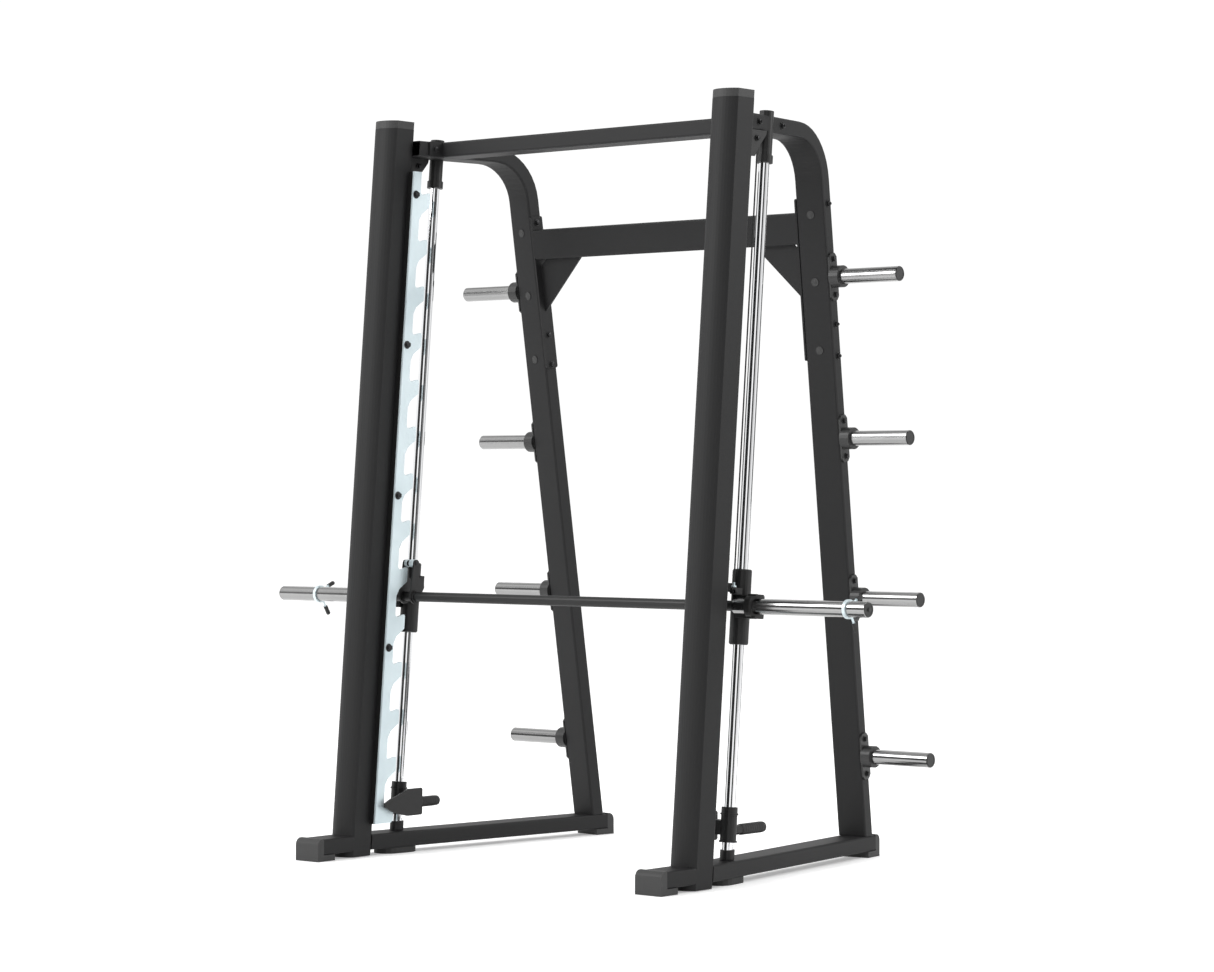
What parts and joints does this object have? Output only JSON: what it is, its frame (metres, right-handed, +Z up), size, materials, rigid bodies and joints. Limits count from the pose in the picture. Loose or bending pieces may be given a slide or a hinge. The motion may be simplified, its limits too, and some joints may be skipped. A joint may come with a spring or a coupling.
{
  "type": "smith machine",
  "caption": "Counterbalanced smith machine: splayed side frames with leaning guide rods and notched hook plates, a bar with loading sleeves, storage pegs and sliding safety stops.",
  "frame": {"origin": "on the floor at the middle of the machine's overall footprint", "axes": "+X along the bar, -Y towards the lifter's side, +Z up"},
  "size_m": [2.4266, 1.3094, 2.4],
  "materials": {
    "frame": "satin charcoal powder coat",
    "plastic": "moulded, lightly textured",
    "black": "satin black",
    "chrome": "mirror-polished hard chrome",
    "satin": "satin chrome, turned",
    "zinc": "bright zinc with a pale blue cast",
    "iron": "rough cast",
    "rubber": "matte black"
  },
  "bodies": {
    "frame": {"base_beam_left": "frame", "base_beam_right": "frame", "cable_left": "rubber", "cable_right": "rubber", "front_foot_cap_left": "plastic", "front_foot_cap_right": "plastic", "front_stub_left": "frame", "front_stub_right": "frame", "guide_rod_left": "chrome", "guide_rod_right": "chrome", "mid_foot_pad_left": "rubber", "mid_foot_pad_right": "rubber", "notch_plate_left": "zinc", "notch_plate_right": "zinc", "notch_rail_left": "black", "notch_rail_right": "black", "pulley_bracket_left": "black", "pulley_bracket_right": "black", "rear_crossbar": "frame", "rear_foot_cap_left": "plastic", "rear_foot_cap_right": "plastic", "rear_leg_left": "frame", "rear_leg_right": "frame", "rod_bottom_socket_left": "black", "rod_bottom_socket_right": "black", "rod_top_socket_left": "black", "rod_top_socket_right": "black", "storage_peg_1_left": "satin", "storage_peg_1_right": "satin", "storage_peg_2_left": "satin", "storage_peg_2_right": "satin", "storage_peg_3_left": "satin", "storage_peg_3_right": "satin", "storage_peg_4_left": "satin", "storage_peg_4_right": "satin", "top_crossbar": "frame", "upright_cap_left": "plastic", "upright_cap_right": "plastic", "upright_left": "frame", "upright_right": "frame"},
    "carriages": {"carriage_left": "black", "carriage_right": "black"},
    "bar": {"bar": "black", "bar_hook_left": "black", "bar_hook_right": "black"},
    "sleeve_left": {"sleeve_left": "satin"},
    "sleeve_right": {"sleeve_right": "satin"},
    "spring_collar_left": {"spring_collar_left": "zinc"},
    "spring_collar_right": {"spring_collar_right": "zinc"},
    "counterweight_left": {"counterweight_left": "iron"},
    "counterweight_right": {"counterweight_right": "iron"},
    "pulley_rear_left": {"pulley_rear_left": "black"},
    "pulley_rear_right": {"pulley_rear_right": "black"},
    "pulley_front_left": {"pulley_front_left": "black"},
    "pulley_front_right": {"pulley_front_right": "black"},
    "safety_stop_left": {"safety_stop_left": "black"},
    "safety_stop_right": {"safety_stop_right": "black"},
    "stop_latch_left": {"stop_latch_left": "black"},
    "stop_latch_right": {"stop_latch_right": "black"}
  },
  "joints": [
    {"name": "bar_slide", "type": "slide", "parent": "frame", "child": "carriages", "axis": [0, 0.0872, 0.9962], "range_m": [-0.46376, 1.23671], "deforming": ["cable_left", "cable_right"]},
    {"name": "bar_turn", "type": "hinge", "parent": "carriages", "child": "bar", "pos_m": [0, -0.25608, 0.83925], "axis": [1, 0, 0], "range_deg": [-20, 26]},
    {"name": "sleeve_spin_left", "type": "hinge", "parent": "bar", "child": "sleeve_left", "pos_m": [-0.724, -0.25608, 0.83925], "axis": [1, 0, 0], "continuous": true},
    {"name": "sleeve_spin_right", "type": "hinge", "parent": "bar", "child": "sleeve_right", "pos_m": [0.724, -0.25608, 0.83925], "axis": [1, 0, 0], "continuous": true},
    {"name": "collar_slide_left", "type": "slide", "parent": "sleeve_left", "child": "spring_collar_left", "axis": [-1, 0, 0], "range_m": [-0.205, 0.16]},
    {"name": "collar_slide_right", "type": "slide", "parent": "sleeve_right", "child": "spring_collar_right", "axis": [1, 0, 0], "range_m": [-0.304, 0.061]},
    {"name": "counterweight_slide_left", "type": "slide", "parent": "frame", "child": "counterweight_left", "axis": [0, 0.0872, 0.9962], "range_m": [-1.24, 0.465]},
    {"name": "counterweight_slide_right", "type": "slide", "parent": "frame", "child": "counterweight_right", "axis": [0, 0.0872, 0.9962], "range_m": [-1.24, 0.465]},
    {"name": "pulley_spin_rear_left", "type": "hinge", "parent": "frame", "child": "pulley_rear_left", "pos_m": [-0.706, -0.14566, 2.262], "axis": [1, 0, 0], "range_deg": [-1400, 3600]},
    {"name": "pulley_spin_rear_right", "type": "hinge", "parent": "frame", "child": "pulley_rear_right", "pos_m": [0.706, -0.14566, 2.262], "axis": [1, 0, 0], "range_deg": [-1400, 3600]},
    {"name": "pulley_spin_front_left", "type": "hinge", "parent": "frame", "child": "pulley_front_left", "pos_m": [-0.706, -0.23877, 2.262], "axis": [1, 0, 0], "range_deg": [-1400, 3600]},
    {"name": "pulley_spin_front_right", "type": "hinge", "parent": "frame", "child": "pulley_front_right", "pos_m": [0.706, -0.23877, 2.262], "axis": [1, 0, 0], "range_deg": [-1400, 3600]},
    {"name": "stop_slide_left", "type": "slide", "parent": "frame", "child": "safety_stop_left", "axis": [0, 0.0872, 0.9962], "range_m": [0, 0.46376]},
    {"name": "stop_slide_right", "type": "slide", "parent": "frame", "child": "safety_stop_right", "axis": [0, 0.0872, 0.9962], "range_m": [0, 0.46376]},
    {"name": "stop_turn_left", "type": "hinge", "parent": "safety_stop_left", "child": "stop_latch_left", "pos_m": [-0.689, -0.24864, 0.167], "axis": [0, -0.0872, -0.9962], "range_deg": [-25, 4]},
    {"name": "stop_turn_right", "type": "hinge", "parent": "safety_stop_right", "child": "stop_latch_right", "pos_m": [0.689, -0.24864, 0.167], "axis": [0, 0.0872, 0.9962], "range_deg": [-25, 4]}
  ],
  "couplings": [
    {"joint": "counterweight_slide_left", "follows": "bar_slide", "ratio": -1},
    {"joint": "counterweight_slide_right", "follows": "bar_slide", "ratio": -1},
    {"joint": "pulley_spin_rear_left", "follows": "bar_slide", "rad_per_m": 50},
    {"joint": "pulley_spin_rear_right", "follows": "bar_slide", "rad_per_m": 50},
    {"joint": "pulley_spin_front_left", "follows": "bar_slide", "rad_per_m": 50},
    {"joint": "pulley_spin_front_right", "follows": "bar_slide", "rad_per_m": 50}
  ]
}
